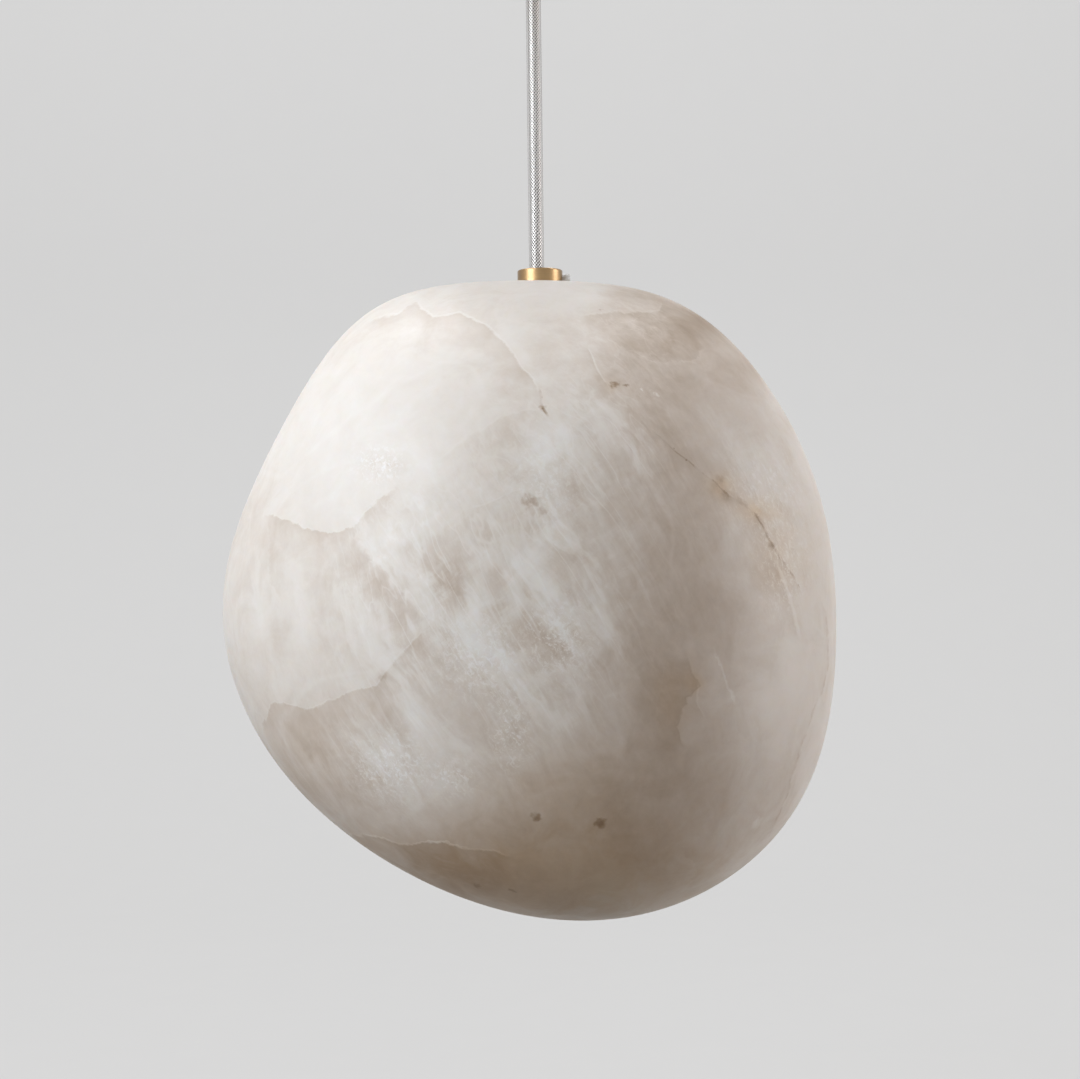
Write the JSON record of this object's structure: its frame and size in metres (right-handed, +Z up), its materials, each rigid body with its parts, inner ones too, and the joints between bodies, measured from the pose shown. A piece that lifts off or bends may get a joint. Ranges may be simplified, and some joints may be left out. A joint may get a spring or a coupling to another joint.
{
  "type": "stone pendant light",
  "caption": "Pendant light with a hollowed alabaster boulder as its shade, hung by a brass grip on a clear-jacketed cord from a ceiling canopy.",
  "frame": {"origin": "centre of the two fixing slots of the ceiling strap, on the ceiling plane", "axes": "+Z up into the ceiling, the light hangs below; +X towards the clamp screws; -Y is the front of the stone"},
  "size_m": [0.2406, 0.2314, 0.4109],
  "materials": {
    "alabaster": "polished, translucent, veined",
    "satin_brass": "satin turned",
    "clear_nylon": "clear moulded",
    "clear_jacket": "clear flexible jacket",
    "tinned_braid": "fine tinned wire braid",
    "zinc_steel": "bright zinc plate",
    "white_plastic": "moulded",
    "contact_brass": "bright stamped",
    "wire_sleeve": "extruded insulation",
    "seal_rubber": "moulded rubber",
    "black_plastic": "moulded thermoset",
    "white_ceramic": "unglazed",
    "bulb_metal": "nickel-bright stamped",
    "black_glass": "fused",
    "light_board": "white solder mask",
    "frosted_globe": "frosted diffuser"
  },
  "bodies": {
    "ceiling_fitting": {"ceiling_strap": "zinc_steel", "strap_nuts": "zinc_steel", "canopy_nipple": "zinc_steel", "canopy_cup": "satin_brass", "canopy_grip": "satin_brass", "terminal_block": "white_plastic", "terminal_sleeves": "contact_brass", "terminal_screws": "zinc_steel", "cord_ceiling_end": "clear_jacket", "canopy_wires": "wire_sleeve"},
    "canopy_clamp": {"canopy_grip_screw": "clear_nylon"},
    "cord": {"cord_jacket": "clear_jacket", "cord_braid": "tinned_braid"},
    "stone": {"alabaster_shell": "alabaster", "stone_collar": "satin_brass", "collar_seal": "seal_rubber", "stone_nipple": "zinc_steel", "inner_seal": "seal_rubber", "spreader_plate": "zinc_steel", "stone_nut": "zinc_steel", "cord_lamp_end": "clear_jacket", "holder_cap": "black_plastic", "holder_body": "black_plastic", "holder_insert": "white_ceramic", "holder_shell": "contact_brass", "holder_contact": "contact_brass", "holder_screws": "zinc_steel", "lamp_wires": "wire_sleeve"},
    "collar_clamp": {"collar_screw": "clear_nylon"},
    "bulb": {"bulb_contact": "bulb_metal", "bulb_insulator": "black_glass", "bulb_cap": "bulb_metal", "bulb_housing": "white_plastic", "bulb_board": "light_board", "bulb_globe": "frosted_globe"}
  },
  "joints": [
    {"name": "cord_sway", "type": "hinge", "parent": "ceiling_fitting", "child": "cord", "pos_m": [-0.0013, 0, -0.0461], "axis": [0, 1, 0], "range_deg": [-25, 25]},
    {"name": "stone_rock", "type": "hinge", "parent": "cord", "child": "stone", "pos_m": [-0.0013, 0, -0.1574], "axis": [1, 0, 0], "range_deg": [-15, 15]},
    {"name": "canopy_screw_slide", "type": "slide", "parent": "ceiling_fitting", "child": "canopy_clamp", "axis": [1, 0, 0], "range_m": [0, 0.002]},
    {"name": "collar_screw_slide", "type": "slide", "parent": "stone", "child": "collar_clamp", "axis": [1, 0, 0], "range_m": [0, 0.002]},
    {"name": "bulb_unscrew", "type": "slide", "parent": "stone", "child": "bulb", "axis": [0, 0, -1], "range_m": [0, 0.022]}
  ]
}
